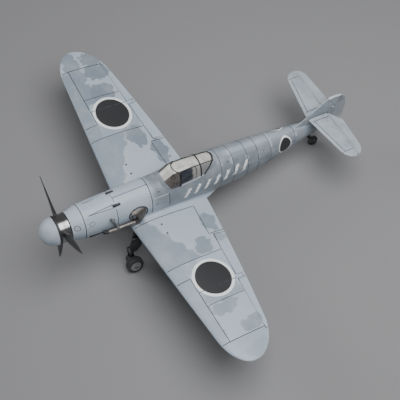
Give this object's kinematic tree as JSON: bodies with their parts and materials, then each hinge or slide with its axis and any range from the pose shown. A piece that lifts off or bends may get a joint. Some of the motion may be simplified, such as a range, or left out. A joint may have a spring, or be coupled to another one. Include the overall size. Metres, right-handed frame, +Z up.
{
  "type": "propeller plane model",
  "caption": "Display model of a low-wing single-engine fighter on a tail-wheel undercarriage, with turning propeller, rolling wheels and hinged control surfaces.",
  "frame": {"origin": "on the floor the model stands on, under the middle of its bounding box", "axes": "+X towards the port (left) wing tip, -Y towards the nose, +Z up"},
  "size_m": [0.2092, 0.1878, 0.0595],
  "materials": {
    "grey_blue_paint": "satin light blue-grey paint with soft darker patches",
    "mottled_paint": "satin mid blue-grey paint, mottled",
    "clear_moulding": "clear moulding with dark painted frames",
    "bare_metal": "polished grey metal",
    "steel_wire": "plain steel",
    "gunmetal": "dark gunmetal, satin",
    "black_plastic": "black, matt",
    "cockpit_grey": "dark grey, matt",
    "tyre_rubber": "black rubber"
  },
  "bodies": {
    "airframe": {"nose_ring": "grey_blue_paint", "shaft_bush": "black_plastic", "fuselage_left": "mottled_paint", "fuselage_right": "mottled_paint", "canopy": "clear_moulding", "gun_left": "gunmetal", "gun_right": "gunmetal", "exhaust_left": "gunmetal", "exhaust_right": "gunmetal", "cockpit_tub": "cockpit_grey", "seat": "cockpit_grey", "instrument_panel": "black_plastic", "control_stick": "black_plastic", "intake_scoop": "bare_metal", "intake_pipe": "bare_metal", "pipe_end_fitting": "gunmetal", "pipe_strap": "gunmetal", "oil_cooler": "grey_blue_paint", "upper_wing_left": "grey_blue_paint", "upper_wing_right": "grey_blue_paint", "lower_wing": "grey_blue_paint", "hinge_wire_left": "steel_wire", "hinge_wire_right": "steel_wire", "radiator_left": "grey_blue_paint", "radiator_right": "grey_blue_paint", "stabilizer_left": "grey_blue_paint", "stabilizer_right": "grey_blue_paint", "rudder_pin": "steel_wire", "main_leg_left": "black_plastic", "main_leg_right": "black_plastic", "gear_door_left": "black_plastic", "gear_door_right": "black_plastic", "axle_left": "steel_wire", "axle_right": "steel_wire", "tail_leg": "black_plastic", "tail_axle": "steel_wire"},
    "propeller_unit": {"spinner_dome": "grey_blue_paint", "spinner_backplate": "bare_metal", "propeller": "gunmetal", "propeller_shaft": "steel_wire"},
    "wheel_left": {"tyre_left": "tyre_rubber", "wheel_hub_left": "bare_metal"},
    "wheel_right": {"tyre_right": "tyre_rubber", "wheel_hub_right": "bare_metal"},
    "tail_wheel": {"tail_tyre": "tyre_rubber", "tail_hub": "bare_metal"},
    "flap_left": {"flap_left": "grey_blue_paint"},
    "flap_right": {"flap_right": "grey_blue_paint"},
    "aileron_left": {"aileron_left": "grey_blue_paint"},
    "aileron_right": {"aileron_right": "grey_blue_paint"},
    "elevators": {"elevator_left": "grey_blue_paint", "elevator_right": "grey_blue_paint", "elevator_rod": "steel_wire"},
    "rudder": {"rudder": "mottled_paint"}
  },
  "joints": [
    {"name": "propeller_spin", "type": "hinge", "parent": "airframe", "child": "propeller_unit", "pos_m": [0, -0.08276, 0.04471], "axis": [0, -0.9826, 0.1857], "continuous": true},
    {"name": "wheel_left_roll", "type": "hinge", "parent": "airframe", "child": "wheel_left", "pos_m": [0.0196, -0.05374, 0.00493], "axis": [0.9511, 0, 0.309], "continuous": true},
    {"name": "wheel_right_roll", "type": "hinge", "parent": "airframe", "child": "wheel_right", "pos_m": [-0.0196, -0.05374, 0.00493], "axis": [0.9511, 0, -0.309], "continuous": true},
    {"name": "tail_wheel_roll", "type": "hinge", "parent": "airframe", "child": "tail_wheel", "pos_m": [0, 0.07575, 0.00324], "axis": [1, 0, 0], "continuous": true},
    {"name": "flap_left_hinge", "type": "hinge", "parent": "airframe", "child": "flap_left", "pos_m": [0.047, -0.01352, 0.02778], "axis": [-0.9919, 0.071, -0.1053], "range_deg": [0, 40]},
    {"name": "flap_right_hinge", "type": "hinge", "parent": "airframe", "child": "flap_right", "pos_m": [-0.047, -0.01352, 0.02778], "axis": [-0.9919, -0.071, 0.1053], "range_deg": [0, 40]},
    {"name": "aileron_left_hinge", "type": "hinge", "parent": "airframe", "child": "aileron_left", "pos_m": [0.0776, -0.01571, 0.03103], "axis": [-0.9919, 0.071, -0.1053], "range_deg": [-20, 20]},
    {"name": "aileron_right_hinge", "type": "hinge", "parent": "airframe", "child": "aileron_right", "pos_m": [-0.0776, -0.01571, 0.03103], "axis": [-0.9919, -0.071, 0.1053], "range_deg": [-20, 20]},
    {"name": "elevator_hinge", "type": "hinge", "parent": "airframe", "child": "elevators", "pos_m": [0, 0.08088, 0.03017], "axis": [-1, 0, 0], "range_deg": [-28, 25]},
    {"name": "rudder_hinge", "type": "hinge", "parent": "airframe", "child": "rudder", "pos_m": [0, 0.08278, 0.02564], "axis": [0, 0.1857, 0.9826], "range_deg": [-28, 28]}
  ]
}
